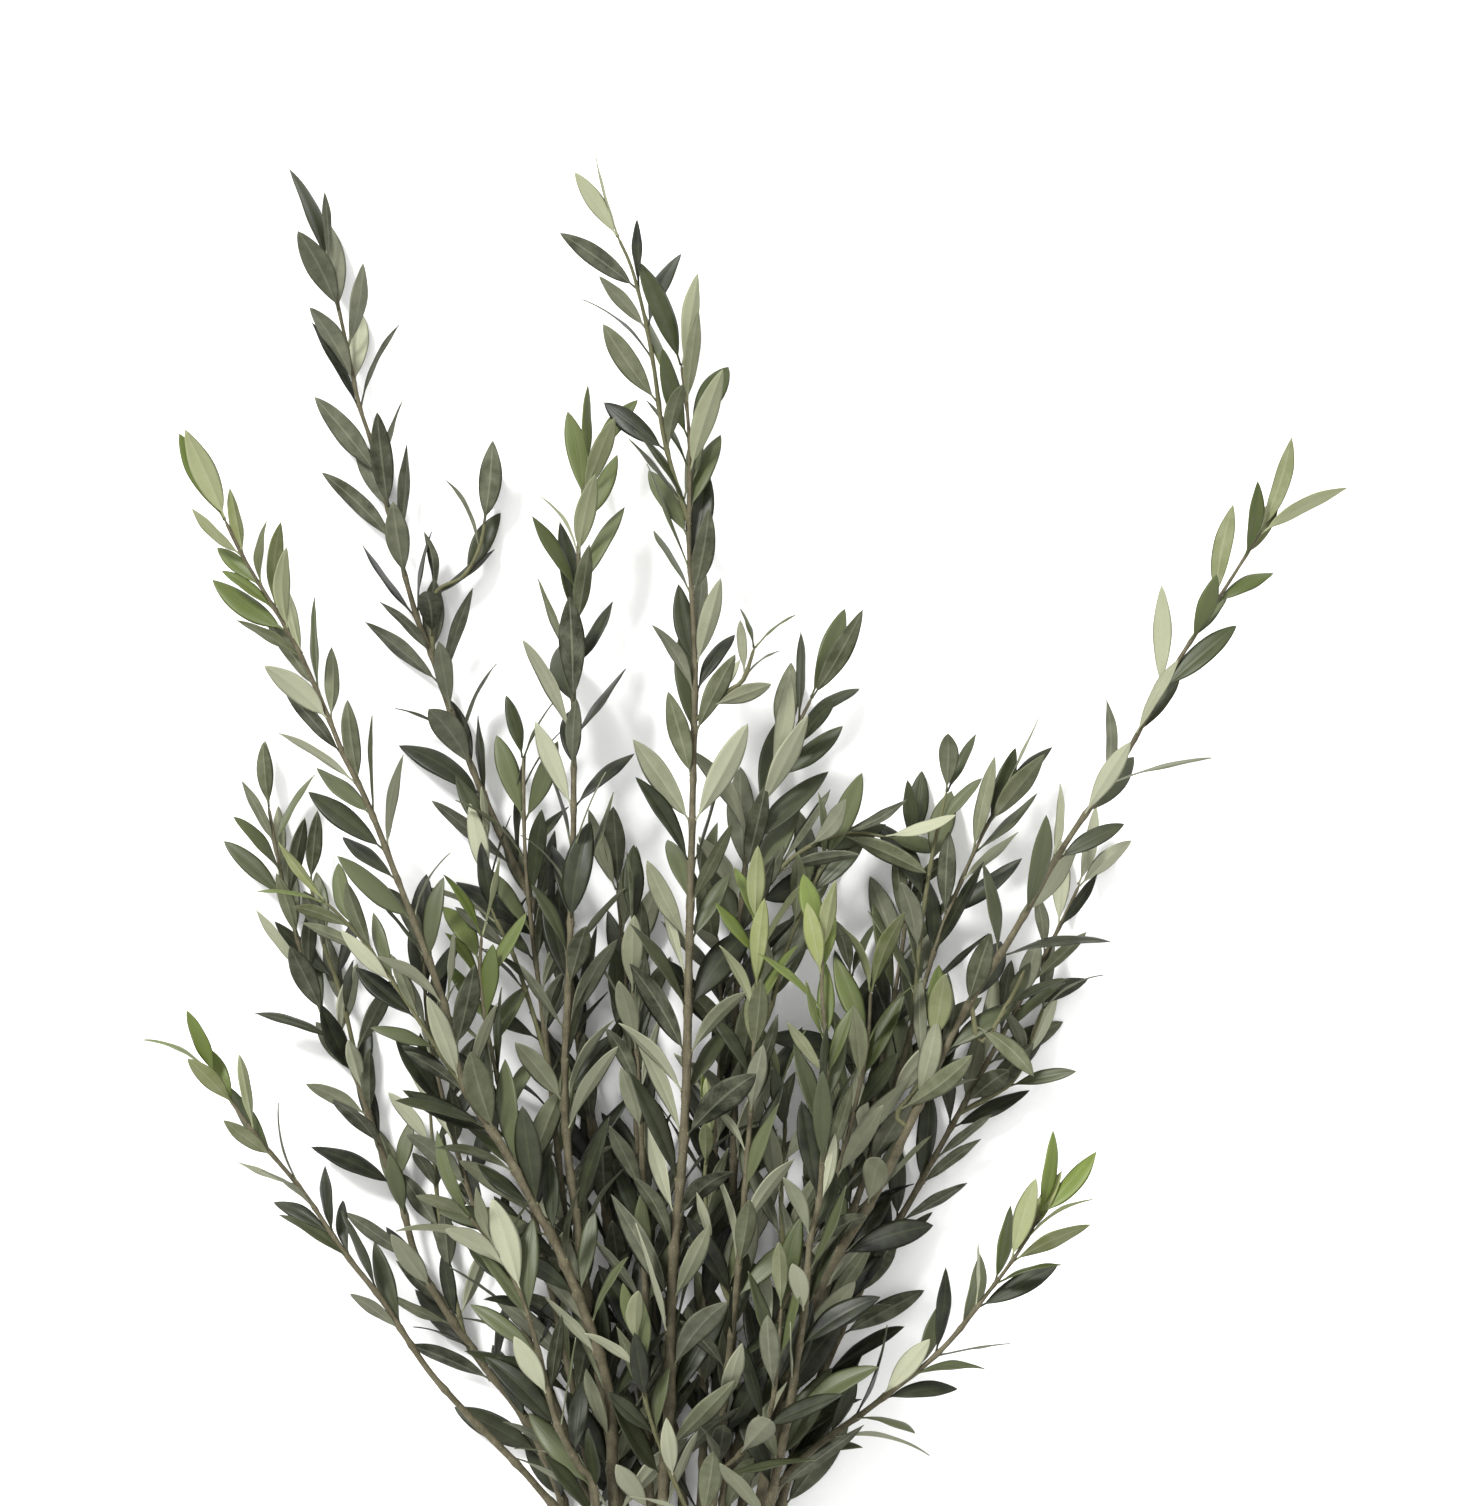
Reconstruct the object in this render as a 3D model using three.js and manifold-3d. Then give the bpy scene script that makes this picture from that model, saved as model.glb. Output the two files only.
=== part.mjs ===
// A bunch of cut olive branches lying on a table, every branch a solid of its own.
//
// Units are millimetres, +Z is up, +Y runs from the cut ends to the tips. The branches are drawn in
// plan, in a working frame whose y is 0 at the table edge of the cut ends, and each lies in one of
// the layers of a low heap. At the end the bunch is moved so that the origin is the middle of its
// footprint, on the table.
//
// A branch is a tapered stem, its side shoots and its leaves, which stand in opposite pairs, each
// pair turned a quarter turn from the last, as on any olive. All that is random comes from one
// seeded generator per branch, so the bunch is the same each time. A leaf that would cross a stem
// or a leaf already there is drawn again, and left out if it never fits.

import * as THREE from "three";
import { mergeVertices } from "three/addons/utils/BufferGeometryUtils.js";
import Module from "manifold-3d";

const wasm = await Module();
wasm.setup();

// ---- driving dimensions, in mm and degrees ------------------------------------------------------

const HEAP = {
  ground: 4, // height of the lowest stems' axes at the cut ends
  cushion: 10, // how much the leaves under the lowest stems lift them
  cushionFrom: 90, // where along y that lift begins, and over what distance it is reached
  cushionOver: 150,
  pitch: 17, // height of one layer where the heap is thickest
  packed: 0.3, // share of that height at the cut ends, where bare stems lie on each other
  crestFrom: 20, // the heap rises to its crest from here
  crestOver: 240,
  fallFrom: 350, // and sinks again towards the tips
  fallOver: 350,
  fall: 0.45,
};

const STEM = {
  sides: 5,
  segment: 45, // length of one straight stretch of the faceted stem
  tipRadius: 0.8,
  shootRadius: 1.3,
  shootLeaf: 0.85, // leaves of a side shoot, as a share of the branch's own
  shootBare: 12,
  clearance: 0.35, // gap kept round a stem where another branch crosses it
};

const LEAF = {
  from: 132, // y above which the stems carry leaves
  spacing: [23, 16], // distance between pairs, low on the stem and near its tip
  spacingJitter: 0.25,
  open: [34, 20], // angle between leaf and stem, low and near the tip
  openJitter: 13,
  turnJitter: 20,
  lengthJitter: 0.2,
  tipLength: 0.78, // leaf length near the tip, as a share of the longest
  width: 0.25, // as a share of the length
  widthJitter: 0.05,
  thickness: 1.1,
  curl: 16, // how far the tip bends away from the stem
  curlJitter: 30,
  missing: 0.08,
  tries: 8, // places tried for a leaf before it is left out
  gap: 0.9, // distance kept from other leaves and stems
  petiole: 0.12, // share of the length that is stalk, without blade
  rooted: 0.55, // a leaf starts inside its stem, at this share of the radius
  flatten: 0.62, // leaves above and below a stem are pressed towards its sides
  faceUp: [0.15, 1.9], // how far a blade turns its face up or down
  upperShare: 0.5, // share of leaves that show their upper face from above
  terminalOpen: 9,
  terminalLength: 0.8,
  tipGap: 12,
  floor: 2.2, // lowest height of a leaf's tip above the table
  lowRim: 0.9, // a low leaf's rims and keel stop at these heights
  lowKeel: 0.2,
  lieFlatBelow: 14, // leaves with tips under this height turn flat to the table
  clearance: 0.4, // room kept over and under a leaf where another branch would cross it
  rimRoom: 1.2, // and beside its rims
};

const SLIVER = 0.04; // detail smaller than this, where leaf and stem join, is dropped

// x and y of each stem from its cut end to its tip, the uppermost branches first. layer 0 lies on
// the table, butt is the radius at the cut end, leaf the longest leaf, gap spreads the leaves out.
// A shoot leaves its stem at the share `at` of the stem's length. A stem is bare up to the y bareTo.
const BRANCHES = [
  {
    name: "branch_front_left", layer: 4, seed: 52, butt: 2.9, leaf: 51,
    path: [[-25, 20], [-34, 140], [-43, 162], [-54, 186], [-65, 232], [-78, 264], [-96, 288]],
  },
  {
    name: "branch_front_middle", layer: 4, seed: 61, butt: 2.7, leaf: 51,
    path: [[4, 16], [20, 140], [37, 167], [51, 185], [56, 214], [58, 244]],
    shoots: [{ at: 0.45, path: [[6, 150], [-8, 190], [-14, 226]] }],
  },
  {
    name: "branch_front_right", layer: 4, seed: 37, butt: 3.0, leaf: 51,
    path: [[16, 2], [52, 140], [68, 232], [72, 275], [77, 300], [80, 360], [78, 398], [78, 420]],
  },
  {
    name: "branch_bright_left", layer: 3, seed: 33, butt: 3.3, leaf: 53,
    path: [[-16, 6], [-26, 140], [-28, 200], [-50, 264], [-64, 290], [-80, 320], [-100, 352],
      [-110, 393], [-132, 451], [-148, 491], [-160, 515], [-174, 548], [-189, 578], [-211, 614],
      [-221, 634]],
    shoots: [{ at: 0.49, path: [[-112, 368], [-125, 388], [-146, 418], [-160, 434], [-170, 443]] }],
  },
  {
    name: "branch_tall_middle", layer: 3, seed: 16, butt: 3.5, leaf: 59,
    path: [[-4, 12], [-1, 140], [2, 186], [4, 256], [10, 332], [12, 410], [14, 498], [15, 564],
      [12, 620], [12, 675], [8, 712]],
    shoots: [
      { at: 0.885, path: [[0, 672], [-6, 712], [-11, 738], [-17, 760], [-24, 776]] },
      { at: 0.745, leaf: 32, path: [[31, 547], [39, 553], [45, 570]] },
    ],
  },
  {
    name: "branch_middle", layer: 3, seed: 24, butt: 2.8, leaf: 49,
    path: [[10, 4], [24, 140], [35, 243], [42, 328], [45, 378], [46, 413], [45, 433]],
    shoots: [{ at: 0.55, path: [[24, 268], [20, 300], [22, 324]] }],
  },
  {
    name: "branch_right_low", layer: 3, seed: 48, butt: 2.5, leaf: 47, bareTo: 175,
    path: [[36, 22], [50, 128], [68, 162], [100, 188], [120, 204], [140, 222], [162, 250],
      [176, 269], [187, 288]],
  },
  {
    name: "branch_far_left", layer: 2, seed: 3, butt: 2.5, leaf: 47, bareTo: 225,
    path: [[-32, 24], [-44, 112], [-66, 148], [-100, 185], [-120, 209], [-142, 243], [-160, 266],
      [-182, 298], [-207, 328], [-226, 356]],
  },
  {
    name: "branch_young_left", layer: 2, seed: 50, butt: 2.6, leaf: 49,
    path: [[-20, 14], [-36, 140], [-62, 270], [-82, 345], [-92, 398], [-92, 426]],
  },
  {
    name: "branch_straight_left", layer: 2, seed: 19, butt: 3.2, leaf: 57,
    path: [[-10, 0], [-24, 140], [-42, 268], [-50, 336], [-48, 410], [-46, 482], [-46, 550],
      [-44, 600], [-43, 635], [-38, 662]],
  },
  {
    name: "branch_core_middle", layer: 2, seed: 27, butt: 2.8, leaf: 51,
    path: [[2, 20], [-8, 140], [-10, 250], [-12, 330], [-16, 398], [-16, 430]],
  },
  {
    name: "branch_core_upright", layer: 2, seed: 70, butt: 2.8, leaf: 51,
    path: [[10, 10], [30, 140], [55, 228], [85, 303], [100, 363], [103, 398]],
    shoots: [{ at: 0.6, path: [[58, 290], [60, 330], [58, 352]] }],
  },
  {
    name: "branch_right_long", layer: 2, seed: 66, butt: 3.5, leaf: 55, gap: 1.4,
    path: [[26, 0], [48, 140], [61, 200], [79, 252], [108, 301], [146, 380], [175, 427],
      [200, 470], [229, 512], [253, 555], [280, 597], [300, 628]],
    shoots: [
      { at: 0.5, path: [[116, 336], [128, 352], [134, 372]] },
      { at: 0.6, path: [[158, 372], [172, 392], [180, 408]] },
    ],
  },
  {
    name: "branch_fill_left", layer: 1, seed: 21, butt: 2.7, leaf: 50,
    path: [[-14, 18], [-40, 140], [-72, 228], [-98, 293], [-118, 368], [-122, 412]],
  },
  {
    name: "branch_shaded_left", layer: 1, seed: 40, butt: 2.8, leaf: 51,
    path: [[-2, 4], [-22, 140], [-48, 268], [-60, 368], [-70, 453], [-72, 515]],
    shoots: [{ at: 0.7, path: [[-75, 410], [-88, 440], [-90, 472]] }],
  },
  {
    name: "branch_core_right", layer: 1, seed: 63, butt: 2.8, leaf: 51,
    path: [[8, 24], [18, 140], [20, 243], [25, 318], [28, 393], [20, 440]],
  },
  {
    name: "branch_spreading", layer: 1, seed: 9, butt: 3.4, leaf: 61,
    path: [[16, 6], [30, 140], [34, 293], [36, 400], [42, 470], [58, 512], [74, 545]],
    shoots: [
      { at: 0.78, path: [[62, 462], [90, 476], [112, 474]] },
      { at: 0.66, path: [[50, 380], [62, 420], [80, 462]] },
    ],
  },
  {
    name: "branch_right_bushy", layer: 1, seed: 14, butt: 3.2, leaf: 57,
    path: [[32, 12], [50, 140], [80, 243], [114, 343], [136, 418], [154, 463], [170, 495]],
    shoots: [{ at: 0.76, path: [[128, 420], [134, 462], [142, 498]] }],
  },
  {
    name: "branch_left_slanting", layer: 0, seed: 12, butt: 2.9, leaf: 49,
    path: [[-22, 10], [-42, 100], [-66, 168], [-96, 210], [-124, 254], [-135, 290], [-148, 324],
      [-160, 358], [-178, 393], [-192, 440], [-198, 468], [-202, 490]],
    shoots: [
      { at: 0.68, path: [[-164, 390], [-174, 420], [-181, 452]] },
      { at: 0.44, path: [[-113, 268], [-117, 300], [-120, 338]] },
    ],
  },
  {
    name: "branch_tall_left", layer: 0, seed: 5, butt: 3.3, leaf: 55, faceUp: [0, 0.5],
    path: [[4, 2], [-4, 140], [-32, 293], [-50, 405], [-60, 424], [-88, 484], [-106, 528],
      [-119, 566], [-128, 590], [-140, 636], [-149, 672], [-156, 694], [-164, 732], [-172, 766]],
    shoots: [{ at: 0.735, path: [[-118, 596], [-103, 606], [-95, 620], [-92, 634]] }],
  },
  {
    name: "branch_core_left", layer: 0, seed: 31, butt: 2.8, leaf: 51,
    path: [[12, 22], [8, 140], [-8, 240], [-16, 340], [-22, 418], [-25, 448]],
  },
  {
    name: "branch_right_upright", layer: 0, seed: 8, butt: 2.9, leaf: 51,
    path: [[22, 8], [40, 140], [74, 243], [102, 328], [116, 394], [123, 442], [125, 470]],
    shoots: [{ at: 0.62, path: [[98, 330], [92, 372], [94, 404]] }],
  },
  {
    name: "branch_right_shaded", layer: 0, seed: 77, butt: 2.9, leaf: 51,
    path: [[40, 16], [60, 140], [90, 226], [130, 300], [160, 354], [186, 402], [202, 433],
      [210, 450]],
    shoots: [{ at: 0.72, path: [[176, 350], [186, 372], [192, 388]] }],
  },
];

// ---- small tools --------------------------------------------------------------------------------

const radians = THREE.MathUtils.degToRad;
const mix = (pair, t) => pair[0] + (pair[1] - pair[0]) * t;
const smooth = (x) => THREE.MathUtils.smoothstep(x, 0, 1);

// A seeded generator of numbers from 0 to 1, and the same spread to -1..1.
function randomFrom(seed) {
  let state = seed * 7919 + 12345;
  const next = () => {
    state = (state * 1664525 + 1013904223) % 4294967296;
    return state / 4294967296;
  };
  return { next, spread: () => next() * 2 - 1 };
}

// ---- stems --------------------------------------------------------------------------------------

// Height of a stem's axis over the table, by layer and by place along the heap.
function heapHeight(layer, y) {
  const cushion = HEAP.cushion * smooth((y - HEAP.cushionFrom) / HEAP.cushionOver);
  const rise = HEAP.packed + (1 - HEAP.packed) * smooth((y - HEAP.crestFrom) / HEAP.crestOver);
  const fall = HEAP.fall * smooth((y - HEAP.fallFrom) / HEAP.fallOver);
  return HEAP.ground + cushion + layer * HEAP.pitch * (rise - fall);
}

function stemFrom(points, branch, base, tip, leafSize, leafStart, turn) {
  const inHeap = points.map((p) =>
    p.isVector3 ? p : new THREE.Vector3(p[0], p[1], heapHeight(branch.layer, p[1])));
  const curve = new THREE.CatmullRomCurve3(inHeap, false, "catmullrom", 0.5);
  const length = curve.getLength();
  const chain = curve.getSpacedPoints(Math.max(2, Math.round(length / STEM.segment)));
  return { curve, chain, length, branch, base, tip, leafSize, leafStart, turn };
}

// A point on the faceted stem's axis, by its share of the length.
function axisPoint(stem, share) {
  const stretches = stem.chain.length - 1;
  const i = Math.min(Math.floor(share * stretches), stretches - 1);
  return stem.chain[i].clone().lerp(stem.chain[i + 1], share * stretches - i);
}

// The stem's direction at a share of its length, and the two directions across it: side is level,
// over is the upward one.
function stemFrame(stem, share) {
  const at = axisPoint(stem, share);
  const along = stem.curve.getTangentAt(share);
  const side = new THREE.Vector3().crossVectors(along, new THREE.Vector3(0, 0, 1)).normalize();
  const over = new THREE.Vector3().crossVectors(side, along);
  return { at, along, side, over };
}

const radiusAt = (stem, share) => mix([stem.base, stem.tip], share);

function stemsOf(branch) {
  const main = stemFrom(branch.path, branch, branch.butt, STEM.tipRadius, branch.leaf, 0,
    branch.seed * 37);
  main.leafStart = firstShareAbove(main, branch.bareTo ?? LEAF.from) * main.length;
  const shoots = (branch.shoots ?? []).map((shoot, i) => {
    const root = axisPoint(main, shoot.at);
    return stemFrom([root, ...shoot.path], branch, STEM.shootRadius, STEM.tipRadius,
      shoot.leaf ?? branch.leaf * STEM.shootLeaf, STEM.shootBare, branch.seed * 53 + i * 90);
  });
  return [main, ...shoots];
}

// The share of a stem's length at which it passes a given y.
function firstShareAbove(stem, y) {
  const steps = 100;
  for (let i = 0; i < steps; i++)
    if (stem.curve.getPointAt(i / steps).y > y) return i / steps;
  return 1;
}

// ---- leaves -------------------------------------------------------------------------------------

// Where one leaf stands and how it lies: its root, the direction it starts in, the normal of its
// upper face, and its size.
function leafOn(stem, distance, turn, open, size, random) {
  const draw = {
    turn: turn + random.spread() * LEAF.turnJitter,
    open: open + random.spread() * LEAF.openJitter,
    length: size * (1 + random.spread() * LEAF.lengthJitter),
    width: LEAF.width + random.spread() * LEAF.widthJitter,
    curl: LEAF.curl + random.spread() * LEAF.curlJitter,
    facing: random.next() < LEAF.upperShare ? 1 : -1,
    faceUp: mix(stem.branch.faceUp ?? LEAF.faceUp, random.next()),
  };
  const frame = stemFrame(stem, distance / stem.length);
  const turned = radians(draw.turn);
  const opened = radians(draw.open);
  const out = frame.side.clone().multiplyScalar(Math.cos(turned))
    .addScaledVector(frame.over, Math.sin(turned) * LEAF.flatten).normalize();
  const along = frame.along.clone().multiplyScalar(Math.cos(opened))
    .addScaledVector(out, Math.sin(opened)).normalize();
  const root = frame.at.addScaledVector(out, LEAF.rooted * radiusAt(stem, distance / stem.length));
  const lowest = (LEAF.floor - root.z) / draw.length;
  if (along.z < lowest) {
    const level = Math.sqrt((1 - lowest * lowest) / (along.x * along.x + along.y * along.y));
    along.set(along.x * level, along.y * level, lowest);
  }
  const tipHeight = root.z + along.z * draw.length;
  const flat = THREE.MathUtils.clamp(1 - (tipHeight - LEAF.floor) / LEAF.lieFlatBelow, 0, 1);
  const upper = frame.along.clone().multiplyScalar(Math.sin(opened))
    .addScaledVector(out, -Math.cos(opened));
  upper.z += draw.facing * draw.faceUp;
  upper.lerp(new THREE.Vector3(0, 0, draw.facing), flat);
  upper.addScaledVector(along, -upper.dot(along)).normalize();
  return {
    root,
    along,
    upper,
    across: new THREE.Vector3().crossVectors(along, upper),
    length: draw.length,
    width: draw.length * draw.width,
    curl: radians(draw.curl * (1 - flat)),
  };
}

// A point on the leaf's midrib: it leaves along `along` and bends away from the upper face.
function midribPoint(leaf, share) {
  const bend = Math.abs(leaf.curl) < 1e-3 ? 1e-3 : leaf.curl;
  return leaf.root.clone()
    .addScaledVector(leaf.along, leaf.length * Math.sin(bend * share) / bend)
    .addScaledVector(leaf.upper, -leaf.length * (1 - Math.cos(bend * share)) / bend);
}

// The blade as two triangles with a common side, raised by lift along the upper face's normal.
function bladeTriangles(leaf, lift) {
  const raise = leaf.upper.clone().multiplyScalar(lift);
  const foot = midribPoint(leaf, LEAF.petiole).add(raise);
  const tip = midribPoint(leaf, 1).add(raise);
  const middle = midribPoint(leaf, 0.5).add(raise);
  const left = middle.clone().addScaledVector(leaf.across, -leaf.width / 2);
  const right = middle.clone().addScaledVector(leaf.across, leaf.width / 2);
  return [[foot, left, right], [tip, right, left]];
}

// Whether the stretch from one point to another goes through a triangle.
function pierces(from, to, triangle) {
  const ray = new THREE.Ray(from, to.clone().sub(from).normalize());
  const hit = ray.intersectTriangle(...triangle, false, new THREE.Vector3());
  return hit !== null && hit.distanceTo(from) < from.distanceTo(to);
}

const sidesPierce = (a, b) => [0, 1, 2].some((i) => pierces(a[i], a[(i + 1) % 3], b));

function leavesCross(a, b) {
  const reach = (a.length + b.length) / 2;
  if (midribPoint(a, 0.5).distanceTo(midribPoint(b, 0.5)) > reach) return false;
  const theirs = bladeTriangles(b, 0);
  return [-LEAF.gap, LEAF.gap].some((lift) => bladeTriangles(a, lift).some((mine) =>
    theirs.some((other) => sidesPierce(mine, other) || sidesPierce(other, mine))));
}

// Whether a stem passes through a blade or nearer to its rim than the gap.
function touchesStem(leaf, stem) {
  const triangles = bladeTriangles(leaf, 0);
  const [[foot, left, right], [tip]] = triangles;
  const rim = [[foot, left], [left, tip], [tip, right], [right, foot]]
    .map((ends) => new THREE.Line3(...ends));
  return stem.chain.slice(1).some((to, i) => {
    const from = stem.chain[i];
    const near = radiusAt(stem, i / (stem.chain.length - 1)) + LEAF.gap;
    const stretch = new THREE.Line3(from, to);
    return rim.some((side) => side.distanceSqToLine3(stretch) < near * near)
      || triangles.some((triangle) => pierces(from, to, triangle));
  });
}

// Draws a leaf until it fits between what is already in the bunch.
function placeLeaf(there, branch, make) {
  for (let attempt = 0; attempt < LEAF.tries; attempt++) {
    const leaf = make();
    const blocked = there.leaves.some((other) => leavesCross(leaf, other))
      || there.stems.some((stem) => stem.branch !== branch && touchesStem(leaf, stem));
    if (!blocked) {
      there.leaves.push(leaf);
      return [leaf];
    }
  }
  return [];
}

function leavesOf(stem, branch, random, there) {
  const leaves = [];
  const gap = branch.gap ?? 1;
  let distance = stem.leafStart;
  let turn = stem.turn;
  while (distance < stem.length - LEAF.tipGap) {
    const share = distance / stem.length;
    const size = stem.leafSize * mix([1, LEAF.tipLength], share);
    const at = distance;
    for (const side of [0, 180])
      if (random.next() > LEAF.missing)
        leaves.push(...placeLeaf(there, branch,
          () => leafOn(stem, at, turn + side, mix(LEAF.open, share), size, random)));
    turn += 90;
    distance += gap * mix(LEAF.spacing, share) * (1 + random.spread() * LEAF.spacingJitter);
  }
  const size = stem.leafSize * LEAF.terminalLength;
  for (const side of [0, 180])
    leaves.push(...placeLeaf(there, branch,
      () => leafOn(stem, stem.length - 1, turn + side, LEAF.terminalOpen, size, random)));
  return leaves;
}

// ---- solids -------------------------------------------------------------------------------------

// A three.js geometry as a solid, each vertex moved by place(vertex).
function solidFrom(geometry, place) {
  const bare = geometry.index ? geometry.toNonIndexed() : geometry.clone();
  bare.deleteAttribute("normal");
  bare.deleteAttribute("uv");
  const merged = mergeVertices(bare, 1e-4);
  const vertex = new THREE.Vector3();
  const positions = merged.getAttribute("position");
  for (let i = 0; i < positions.count; i++) {
    const placed = place(vertex.fromBufferAttribute(positions, i));
    positions.setXYZ(i, placed.x, placed.y, placed.z);
  }
  return new wasm.Manifold(new wasm.Mesh({
    numProp: 3,
    vertProperties: positions.array,
    triVerts: new Uint32Array(merged.index.array),
  }));
}

// A round bar bent along the stem. grow makes it thicker, for the room a crossing branch leaves.
function stemSolid(stem, grow) {
  const bar = new THREE.CylinderGeometry(1, 1, 1, STEM.sides, stem.chain.length - 1);
  return solidFrom(bar, (v) => {
    const share = THREE.MathUtils.clamp(v.y + 0.5, 0, 1);
    const frame = stemFrame(stem, share);
    const radius = radiusAt(stem, share) + grow;
    return frame.at.addScaledVector(frame.side, v.x * radius).addScaledVector(frame.over, v.z * radius);
  });
}

// A blade with three long edges: the two rims, and a keel under the midrib.
function leafSolid(leaf) {
  return solidFrom(new THREE.SphereGeometry(1, 3, 2), (v) => {
    const end = Math.abs(v.y) > 0.5;
    const placed = midribPoint(leaf, end ? (v.y + 1) / 2 : 0.5);
    if (!end) {
      placed.addScaledVector(leaf.across, -v.z / Math.sin(Math.PI / 3) * leaf.width / 2);
      placed.addScaledVector(leaf.upper, v.x * LEAF.thickness * 2 / 3);
    }
    placed.z = Math.max(placed.z, end || v.x > 0 ? LEAF.lowRim : LEAF.lowKeel);
    return placed;
  });
}

// The room that a leaf takes up: a four-edged blade round it, with the clearance above and below.
function leafRoom(leaf) {
  const middle = midribPoint(leaf, 0.5).addScaledVector(leaf.upper, LEAF.thickness / 3);
  const above = LEAF.clearance;
  const below = LEAF.clearance + LEAF.thickness;
  return solidFrom(new THREE.OctahedronGeometry(1, 0), (v) => {
    if (Math.abs(v.y) > 0.5) {
      const end = midribPoint(leaf, (v.y + 1) / 2);
      end.z = Math.max(end.z, LEAF.lowRim);
      return end.lerp(middle, -LEAF.clearance / end.distanceTo(middle));
    }
    const placed = middle.clone().addScaledVector(leaf.across, v.x * (leaf.width / 2 + LEAF.rimRoom));
    placed.addScaledVector(leaf.upper, v.z * (v.z > 0 ? above : below));
    if (Math.abs(v.x) > 0.5) placed.z = Math.max(placed.z, LEAF.lowRim);
    return placed;
  });
}

const branchSolid = (stems, leaves) => wasm.Manifold.union(
  [...stems.map((stem) => stemSolid(stem, 0)), ...leaves.map(leafSolid)]);

// The room that a branch takes up, which the branches under it are cut back from.
const branchRoom = (stems, leaves) => wasm.Manifold.union(
  [...stems.map((stem) => stemSolid(stem, STEM.clearance)), ...leaves.map(leafRoom)]);

// The largest of the bodies that a cut may have left.
function largestBody(solid) {
  const bodies = solid.decompose();
  return bodies.reduce((best, body) => (body.volume() > best.volume() ? body : best));
}

function meshFrom(solid, name) {
  const { numProp, vertProperties, triVerts } = solid.getMesh();
  const positions = new Float32Array(vertProperties.length / numProp * 3);
  for (let i = 0; i < positions.length / 3; i++)
    positions.set(vertProperties.subarray(i * numProp, i * numProp + 3), i * 3);
  const geometry = new THREE.BufferGeometry();
  geometry.setAttribute("position", new THREE.BufferAttribute(positions, 3));
  geometry.setIndex(new THREE.BufferAttribute(triVerts, 1));
  geometry.computeVertexNormals();
  const material = new THREE.MeshStandardMaterial({ color: 0x6f7b5c, roughness: 0.75, metalness: 0 });
  const mesh = new THREE.Mesh(geometry, material);
  mesh.name = name;
  return mesh;
}

// ---- the bunch ----------------------------------------------------------------------------------

const bunch = new THREE.Group();
const there = { stems: BRANCHES.flatMap(stemsOf), leaves: [] };
let taken = null;
for (const branch of BRANCHES) {
  const random = randomFrom(branch.seed);
  const stems = there.stems.filter((stem) => stem.branch === branch);
  const leaves = stems.flatMap((stem) => leavesOf(stem, branch, random, there));
  const whole = branchSolid(stems, leaves);
  const free = largestBody((taken ? whole.subtract(taken) : whole).simplify(SLIVER));
  bunch.add(meshFrom(free, branch.name));
  const room = branchRoom(stems, leaves);
  taken = taken ? taken.add(room) : room;
}

const footprint = new THREE.Box3().setFromObject(bunch);
const middle = footprint.getCenter(new THREE.Vector3());
bunch.position.set(-middle.x, -middle.y, -footprint.min.z);

const part = new THREE.Group();
part.add(bunch);
export default part;
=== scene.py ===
"""A loose bunch of olive branches lying on a pale table, seen from straight above.

The branches stand where the CAD has them: the same branch table and the same seeded rules place
stems and leaves here, in millimetres in the CAD's working frame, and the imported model's own box
gives the move from that frame to the row's. Every branch is one mesh with bark, both faces of its
leaves and its cut end as materials.
"""

import math
import bpy
import numpy as np
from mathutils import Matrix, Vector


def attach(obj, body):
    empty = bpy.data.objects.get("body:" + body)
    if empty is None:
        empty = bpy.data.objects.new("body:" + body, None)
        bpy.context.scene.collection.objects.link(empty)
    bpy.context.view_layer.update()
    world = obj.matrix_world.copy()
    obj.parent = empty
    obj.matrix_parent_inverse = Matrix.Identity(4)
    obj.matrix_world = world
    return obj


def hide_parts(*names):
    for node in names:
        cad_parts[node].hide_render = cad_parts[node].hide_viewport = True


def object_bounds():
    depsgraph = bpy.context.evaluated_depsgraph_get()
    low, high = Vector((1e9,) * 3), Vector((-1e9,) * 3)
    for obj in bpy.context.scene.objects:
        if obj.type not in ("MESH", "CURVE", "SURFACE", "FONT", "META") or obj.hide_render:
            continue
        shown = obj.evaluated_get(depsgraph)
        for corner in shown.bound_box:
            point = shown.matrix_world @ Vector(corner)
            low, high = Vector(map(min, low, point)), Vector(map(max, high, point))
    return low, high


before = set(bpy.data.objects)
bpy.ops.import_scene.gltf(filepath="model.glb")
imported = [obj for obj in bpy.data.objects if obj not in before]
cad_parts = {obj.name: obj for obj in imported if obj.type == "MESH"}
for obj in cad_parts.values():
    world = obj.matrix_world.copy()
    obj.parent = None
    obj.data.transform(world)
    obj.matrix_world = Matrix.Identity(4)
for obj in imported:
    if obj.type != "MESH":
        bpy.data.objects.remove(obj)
cad_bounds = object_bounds()

MM = 0.001
UP = np.array((0.0, 0.0, 1.0))

# ---- how branches grow and lie, as in the CAD ----------------------------------------------------

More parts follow.
